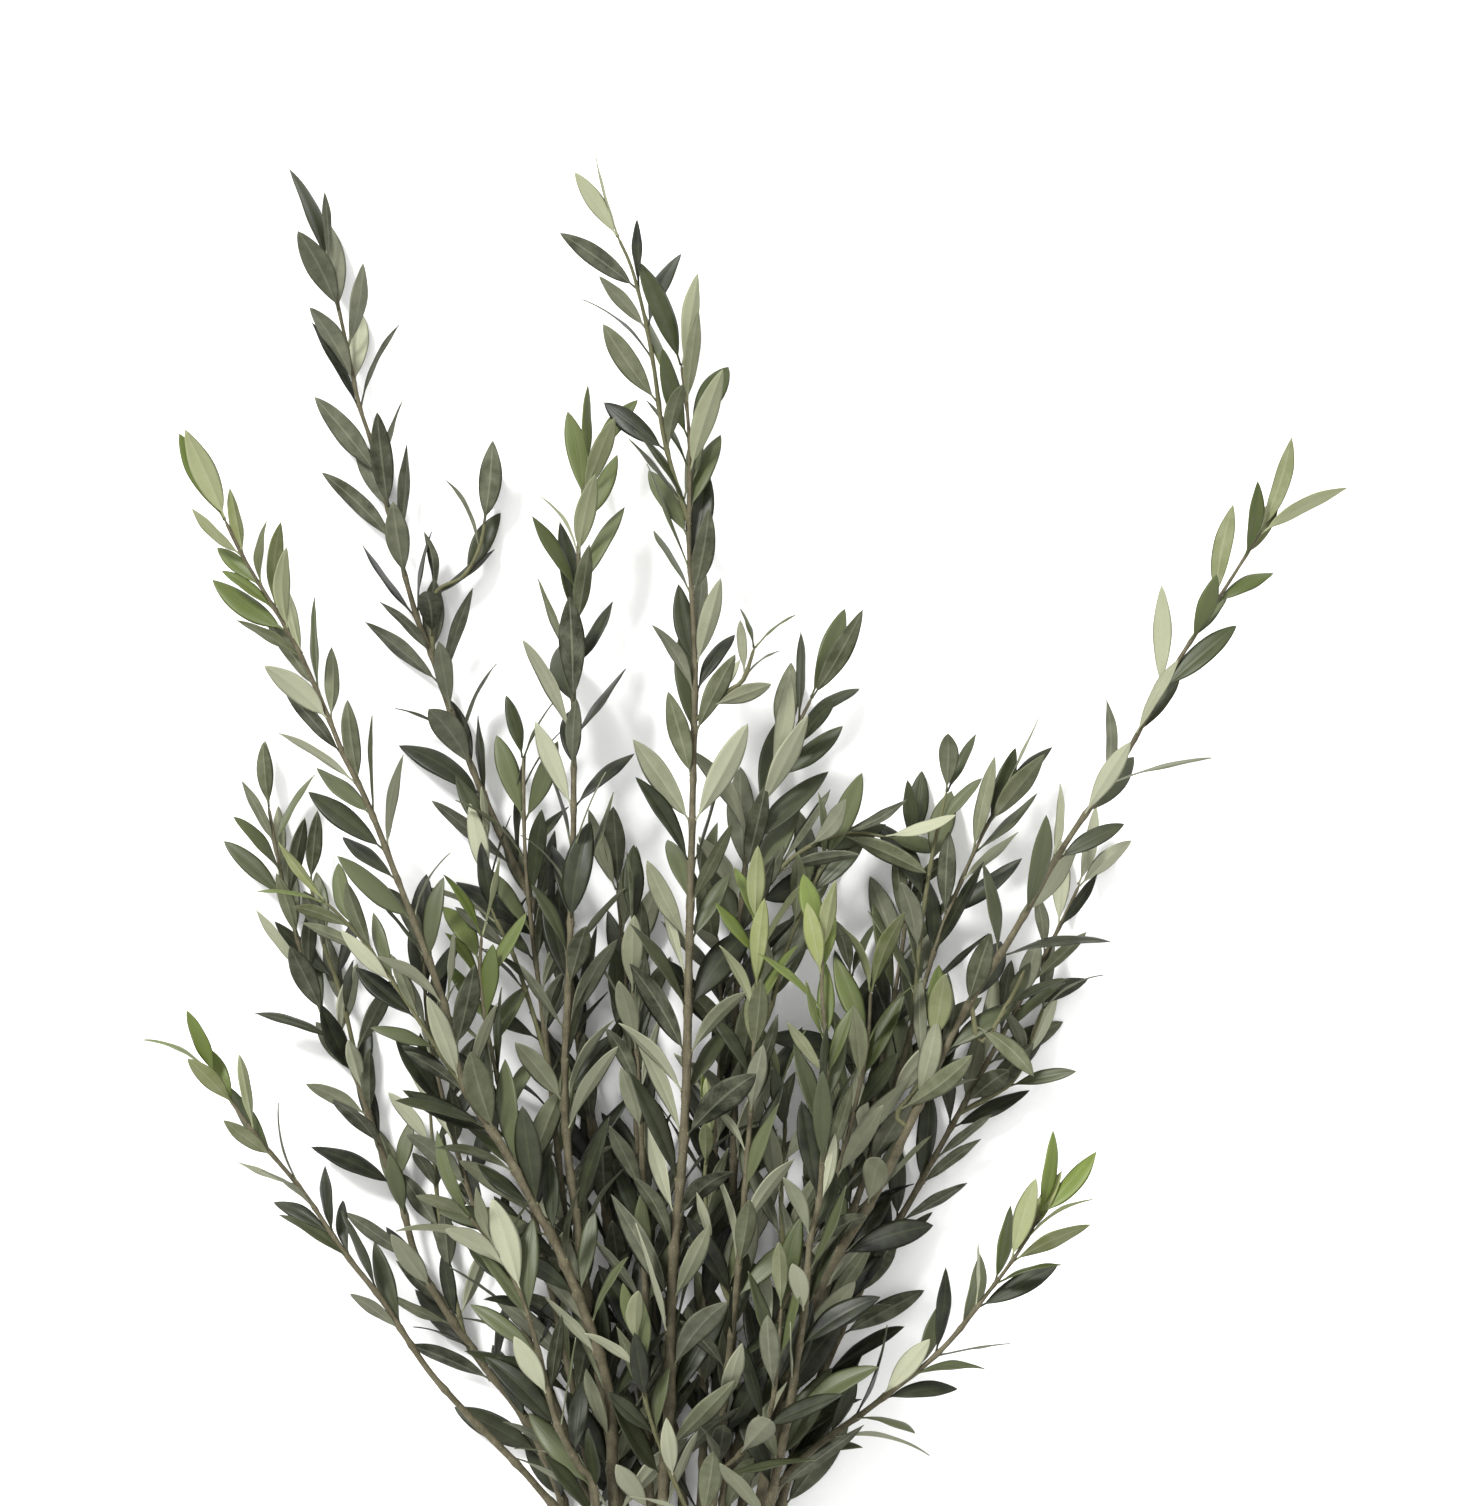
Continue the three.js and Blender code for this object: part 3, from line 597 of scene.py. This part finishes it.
def add_leaf(build, leaf, look, random, floor):
    dark, young = look
    fresh = young * float(smooth((leaf.share - 0.8) / 0.18)) * (0.6 + 0.4 * random.next())
    character = {
        "twist": random.spread() * BLADE["twist"],
        "sway": random.spread() * BLADE["sway"],
        "cup": 0.1 + 0.16 * random.next(),
        "fold": 0.05 + 0.3 * random.next(),
        "widest": 0.9 + 0.22 * random.next(),
        "phase": 6.28 * random.next(),
    }
    vertices, places = blade_vertices(leaf, character)
    low = floor + 0.25
    sunk = vertices[:, 2] < low
    vertices[sunk, 2] = low + 0.15 * (vertices[sunk, 2] - low) / (1 + np.abs(vertices[sunk, 2] - low))
    # painted shade: a leaf falls into its branch's share of shaded leaves and is darkened in the material
    painted_shade = 1.0 if random.next() < dark else 0.0
    painted_shade = painted_shade * (0.55 + 0.45 * random.next())
    build.add(vertices, BLADE_FACES, BLADE_MATERIALS, places, (random.next(), fresh, painted_shade))
    add_bud(build, leaf, fresh)


def add_bud(build, leaf, fresh):
    """The small bud in the angle between a leaf's stalk and its stem."""
    size = TWIG["bud"] * (0.7 + 0.3 * leaf.stem.radius(leaf.share))
    slip = leaf.stem.curve.point(leaf.share) - leaf.stem.axis(leaf.share)
    centre = leaf.root + slip + leaf.out * (0.5 * leaf.stem.radius(leaf.share)) + leaf.stem_along * size
    across = np.cross(leaf.stem_along, leaf.out)
    around, levels = 6, (0.15, 0.5, 0.8, 0.97)
    rings = []
    for level in levels:
        radius = size * 0.55 * math.sin(math.pi * level)
        turns = np.arange(around) / around * 2 * math.pi
        ring = centre + leaf.stem_along * (size * (2 * level - 1))
        rings.append(ring + radius * (np.cos(turns)[:, None] * leaf.out + np.sin(turns)[:, None] * across))
    faces = tube_faces(len(levels), around)
    faces += [tuple(range(around))[::-1], tuple(range((len(levels) - 1) * around, len(levels) * around))]
    vertices = np.concatenate(rings)
    build.add(vertices, faces, [BARK] * len(faces), np.zeros((len(vertices), 2)), (0.7, max(fresh, 0.5), 0))


def stem_radius(stem, distance):
    """The radius with its swellings at the leaf nodes and its closed tip."""
    nodes = np.array(stem.nodes + stem.bare_nodes)
    swelling = np.exp(-((distance - nodes) / TWIG["swelling_length"]) ** 2).max() if len(nodes) else 0
    tip = math.sqrt(max(1 - ((distance - stem.length + 3) / 3.2) ** 2, 0.01)) \
        if distance > stem.length - 3 else 1
    return stem.radius(distance / stem.length) * tip * (1 + TWIG["swelling"] * swelling)


def add_stem(build, stem, is_main, youth, random):
    count = max(8, round(stem.length / TWIG["ring"]))
    around = TWIG["sides"]
    turns = np.arange(around) / around * 2 * math.pi
    stem.bare_nodes = list(np.arange(12, stem.leaf_start - 6, TWIG["bare_node"])) if is_main else []
    phases = [6.28 * random.next() for _ in range(3)]
    rings, places = [], []
    for i in range(count + 1):
        distance = stem.length * i / count
        share = i / count
        along = stem.curve.tangent(share)
        side = unit(np.cross(along, UP))
        over = np.cross(side, along)
        rough = 1 + TWIG["roughness"] * (np.sin(turns * 2 + distance / 9 + phases[0])
                                         + np.sin(turns * 3 - distance / 5 + phases[1])
                                         + np.sin(distance / 14 + phases[2]))
        radius = stem_radius(stem, distance) * rough
        offsets = radius[:, None] * (np.cos(turns)[:, None] * side + np.sin(turns)[:, None] * over)
        slant = np.zeros(around)
        if is_main and distance < 6:
            slant = np.cos(turns + phases[0]) * radius * TWIG["cut_slant"] * (1 - distance / 6)
        rings.append(stem.curve.point(share) + offsets + slant[:, None] * along)
        places.append(np.column_stack((np.full(around, distance / 10), turns / (2 * math.pi))))
    vertices = np.concatenate(rings)
    faces = [face[::-1] for face in tube_faces(count + 1, around)]
    faces.append(tuple(range(count * around, (count + 1) * around))[::-1])
    materials = [BARK] * len(faces)
    cut = rings[0]
    centre = cut.mean(axis=0)
    along = stem.curve.tangent(0)
    inner = [centre + (cut - centre) * size + along * depth
             for size, depth in ((0.9, -0.25), (0.55, -0.3), (0.14, -0.15))]
    first = len(vertices)
    vertices = np.concatenate((vertices, *inner))
    places = places + [np.column_stack((np.full(around, size), turns / (2 * math.pi)))
                       for size in (0.9, 0.55, 0.14)]
    loops = [list(range(around))] + [list(range(first + k * around, first + (k + 1) * around))
                                     for k in range(3)]
    for outer_loop, inner_loop in zip(loops[:-1], loops[1:]):
        for j in range(around):
            k = (j + 1) % around
            faces.append((outer_loop[j], outer_loop[k], inner_loop[k], inner_loop[j]))
            materials.append(CUT)
    faces.append(tuple(loops[-1]))
    materials.append(CUT)
    build.add(vertices, faces, materials, np.concatenate(places), (random.next(), youth, 0))


# ---- materials -----------------------------------------------------------------------------------

def linear(red, green, blue):
    """A colour given as a screen shows it, 0 to 255, as the renderer's own."""
    return (*(((c / 255 + 0.055) / 1.055) ** 2.4 if c > 10 else c / 255 / 12.92
              for c in (red, green, blue)), 1)


class Shader:
    """A material's nodes, with short names for the ones that are used here."""

    def __init__(self, name, **inputs):
        self.material = bpy.data.materials.new(name)
        self.material.use_nodes = True
        self.tree = self.material.node_tree
        self.surface = self.tree.nodes["Principled BSDF"]
        for key, value in inputs.items():
            self.surface.inputs[key.replace("_", " ")].default_value = value

    def node(self, kind, **settings):
        node = self.tree.nodes.new(kind)
        for key, value in settings.items():
            setattr(node, key, value)
        return node

    def link(self, source, target):
        self.tree.links.new(source, target)

    def fill(self, node, values):
        for key, value in values.items():
            if isinstance(value, bpy.types.NodeSocket):
                self.link(value, node.inputs[key])
            else:
                node.inputs[key].default_value = value
        return node

    def tones(self):
        attribute = self.node("ShaderNodeAttribute", attribute_name="tone")
        split = self.node("ShaderNodeSeparateColor")
        self.link(attribute.outputs["Color"], split.inputs["Color"])
        return split.outputs["Red"], split.outputs["Green"], split.outputs["Blue"]

    def along_and_across(self):
        place = self.node("ShaderNodeUVMap", uv_map="UVMap")
        split = self.node("ShaderNodeSeparateXYZ")
        self.link(place.outputs["UV"], split.inputs["Vector"])
        return split.outputs["X"], split.outputs["Y"]

    def math(self, operation, first, second=0.0):
        node = self.node("ShaderNodeMath", operation=operation)
        return self.fill(node, {0: first, 1: second}).outputs[0]

    def ramp(self, value, low, high, start=0.0, end=1.0):
        node = self.node("ShaderNodeMapRange", clamp=True)
        values = {"Value": value, "From Min": low, "From Max": high, "To Min": start, "To Max": end}
        return self.fill(node, values).outputs["Result"]

    def blend(self, factor, first, second, kind="MIX"):
        node = self.node("ShaderNodeMix", data_type="RGBA", blend_type=kind)
        return self.fill(node, {0: factor, 6: first, 7: second}).outputs[2]

    def noise(self, scale, detail=3.0, vector=None, stretch=None):
        coordinates = self.node("ShaderNodeTexCoord").outputs["Object"] if vector is None else vector
        if stretch:
            mapping = self.node("ShaderNodeMapping")
            coordinates = self.fill(mapping, {"Vector": coordinates, "Scale": stretch}).outputs[0]
        node = self.node("ShaderNodeTexNoise")
        values = {"Vector": coordinates, "Scale": scale, "Detail": detail, "Roughness": 0.6}
        return self.fill(node, values).outputs["Fac"]

    def bump(self, height, strength, distance):
        node = self.node("ShaderNodeBump")
        values = {"Strength": strength, "Distance": distance, "Height": height}
        self.link(self.fill(node, values).outputs["Normal"], self.surface.inputs["Normal"])


def leaf_material(name, colours, roughness, vein, speckle, gloss):
    """A leaf's face. colours are its fresh light, light and dark tones and the dark tone of its painted
    shade.
    """
    young, light, dark, painted_shade_colour = (linear(*colour) for colour in colours)
    shader = Shader(name, Roughness=roughness, Specular_IOR_Level=gloss)
    tone, youth, painted_shade_mask = shader.tones()
    along, across = shader.along_and_across()
    patches = shader.noise(110, 3)
    grains = shader.noise(2600, 2)
    colour = shader.blend(shader.ramp(tone, 0.2, 0.8), dark, light)
    # painted shade: leaves marked as shaded are blended towards a darker tone, as if lying in shadow
    colour = shader.blend(painted_shade_mask, colour, painted_shade_colour)
    colour = shader.blend(youth, colour, young)
    pale = shader.blend(0.5, colour, light)
    colour = shader.blend(shader.ramp(patches, 0.35, 0.7, 0, 0.45), colour, pale)
    off_middle = shader.math("ABSOLUTE", shader.math("SUBTRACT", across, 0.5))
    rib = shader.ramp(off_middle, 0.015, 0.06, 1, 0)
    slanted = shader.math("SUBTRACT", shader.math("MULTIPLY", along, 13),
                          shader.math("MULTIPLY", off_middle, 7))
    wave = shader.math("ABSOLUTE", shader.math("SUBTRACT", shader.math("FRACT", slanted), 0.5))
    side_vein = shader.ramp(wave, 0.0, 0.11, 1, 0)
    veins = shader.math("MAXIMUM", rib, shader.math("MULTIPLY", side_vein, 0.28))
    colour = shader.blend(shader.math("MULTIPLY", veins, vein), colour, shader.blend(0.5, colour, light))
    shade = shader.ramp(grains, 0.3, 0.7, 1 - speckle, 1 + speckle)
    grey = shader.node("ShaderNodeCombineColor")
    grey = shader.fill(grey, {0: shade, 1: shade, 2: shade}).outputs[0]
    colour = shader.blend(1.0, colour, grey, "MULTIPLY")
    shader.link(colour, shader.surface.inputs["Base Color"])
    height = shader.math("ADD", shader.math("MULTIPLY", grains, 0.35), shader.math("MULTIPLY", veins, 0.6))
    shader.bump(height, 0.35, 0.0003)
    return shader.material


def bark_material():
    shader = Shader("olive_bark", Roughness=0.72, Specular_IOR_Level=0.2)
    youth = shader.tones()[1]
    streaks = shader.noise(900, 4, stretch=(1.0, 0.12, 1.0))
    patches = shader.noise(140, 3)
    specks = shader.noise(1500, 1)
    colour = shader.blend(shader.ramp(patches, 0.3, 0.7), linear(60, 52, 42), linear(92, 84, 70))
    colour = shader.blend(youth, colour, linear(88, 90, 60))
    colour = shader.blend(shader.ramp(streaks, 0.5, 0.75, 0, 0.55), colour, linear(46, 39, 30))
    colour = shader.blend(shader.ramp(specks, 0.66, 0.74, 0, 0.7), colour, linear(134, 126, 106))
    shader.link(colour, shader.surface.inputs["Base Color"])
    shader.bump(shader.math("ADD", streaks, shader.math("MULTIPLY", specks, 0.5)), 0.5, 0.0005)
    return shader.material


def cut_material():
    shader = Shader("olive_cut_wood", Roughness=0.8)
    out = shader.along_and_across()[0]
    rings = shader.math("ABSOLUTE", shader.math("SINE", shader.math("MULTIPLY", out, 26)))
    grain = shader.noise(1800, 3)
    colour = shader.blend(shader.ramp(rings, 0.0, 0.5), linear(128, 106, 74), linear(158, 142, 110))
    colour = shader.blend(shader.ramp(grain, 0.45, 0.8, 0, 0.5), colour, linear(104, 84, 58))
    colour = shader.blend(shader.ramp(out, 0.0, 0.2, 1, 0), colour, linear(84, 64, 42))
    shader.link(colour, shader.surface.inputs["Base Color"])
    shader.bump(shader.math("ADD", grain, rings), 0.4, 0.0003)
    return shader.material


def floor_material():
    shader = Shader("pale_table", Roughness=0.9, Specular_IOR_Level=0.2)
    fibres = shader.noise(400, 3)
    colour = shader.blend(fibres, (0.9, 0.9, 0.89, 1), (0.95, 0.95, 0.945, 1))
    shader.link(colour, shader.surface.inputs["Base Color"])
    shader.bump(fibres, 0.05, 0.0002)
    return shader.material


# ---- the bunch -----------------------------------------------------------------------------------

YOUTH = {"main_stem": 0.25, "shoot": 0.7}  # how green the bark is
FLOOR_GAP = 0.05  # mm between the table and the lowest points


def working_frame_shift(bunch):
    """The move, in mm, from the working frame to the row's: both boxes have the same middle."""
    reached = []
    for stems, leaves in bunch.values():
        reached += [np.array([leaf.midrib(0), leaf.midrib(1), *leaf.rim[1]]) for leaf in leaves]
        for stem in stems:
            reached.append(stem.chain)
    reached = np.concatenate(reached)
    low, high = reached.min(axis=0), reached.max(axis=0)
    box_low, box_high = (np.array(corner) / MM for corner in cad_bounds)
    shift = (box_low + box_high) / 2 - (low + high) / 2
    shift[2] = box_high[2] - high[2]
    return shift


def build_branch(name, stems, leaves, materials, shift):
    random = Random(len(name) * 31 + len(leaves))
    build = Build()
    for i, stem in enumerate(stems):
        add_stem(build, stem, i == 0, YOUTH["shoot" if i else "main_stem"], random)
    for leaf in leaves:
        add_leaf(build, leaf, LOOKS[name], random, -shift[2])
    build.vertices = [np.maximum(v + shift, (-np.inf, -np.inf, FLOOR_GAP)) for v in build.vertices]
    piece = bpy.data.objects.new(name.replace("branch", "olive"), build.mesh(name, materials))
    bpy.context.collection.objects.link(piece)
    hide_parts(name)
    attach(piece, "root")
    return piece


# ---- table, light and camera ---------------------------------------------------------------------

TABLE_HALF = 4.0  # metres
LIGHT = {"sky": 1.45, "sun": 4.6, "sun_width": 14, "sun_tilt": (-38, -34)}  # strengths and degrees


def add_table():
    half = TABLE_HALF
    mesh = bpy.data.meshes.new("table")
    corners = [(-half, -half, 0), (half, -half, 0), (half, half, 0), (-half, half, 0)]
    mesh.from_pydata(corners, [], [(0, 1, 2, 3)])
    mesh.materials.append(floor_material())
    table = bpy.data.objects.new("table", mesh)
    bpy.context.collection.objects.link(table)


def add_lights():
    world = bpy.data.worlds.new("studio")
    world.use_nodes = True
    background = world.node_tree.nodes["Background"]
    background.inputs["Color"].default_value = (1.0, 1.0, 1.0, 1)
    background.inputs["Strength"].default_value = LIGHT["sky"]
    bpy.context.scene.world = world
    sun = bpy.data.lights.new("key", "SUN")
    sun.energy = LIGHT["sun"]
    sun.angle = math.radians(LIGHT["sun_width"])
    lamp = bpy.data.objects.new("key", sun)
    lamp.rotation_euler = (*map(math.radians, LIGHT["sun_tilt"]), 0)
    bpy.context.collection.objects.link(lamp)


def add_camera(shift):
    """Straight above the fan, as far to its side and as wide as the picture shows it."""
    picture = {"width": 1479, "height": 1506}
    seen = 753.0  # mm seen from top to bottom at the height of the leaves
    leaf_height, camera_height = 50.0, 2400.0
    middle = np.array((37.25, 516.5, camera_height)) + shift
    data = bpy.data.cameras.new("camera")
    data.sensor_fit = "AUTO"
    data.sensor_width = 36.0
    widest = max(picture.values()) / picture["height"]
    data.lens = data.sensor_width * (camera_height - leaf_height) / (seen * widest)
    data.clip_end = 50
    camera = bpy.data.objects.new("camera", data)
    camera.location = middle * MM
    bpy.context.collection.objects.link(camera)
    bpy.context.scene.camera = camera


def leaf_materials():
    # the last colour of each face is the dark tone of painted shade for leaves lying in shadow
    under = leaf_material("olive_leaf_under", ((116, 122, 74), (142, 144, 122), (74, 77, 56),
                                               (30, 33, 22)), 0.7, 0.5, 0.1, 0.14)
    upper = leaf_material("olive_leaf_upper", ((92, 106, 44), (74, 79, 54), (27, 31, 18),
                                               (10, 12, 7)), 0.44, 0.4, 0.06, 0.25)
    return upper, under


bunch = grow_bunch()
shift = working_frame_shift(bunch)
upper_face, under_face = leaf_materials()
all_materials = [bark_material(), upper_face, under_face, cut_material()]
for name, (stems, leaves) in bunch.items():
    build_branch(name, stems, leaves, all_materials, shift)
add_table()
add_lights()
add_camera(shift)
bpy.context.scene.view_settings.view_transform = "Standard"
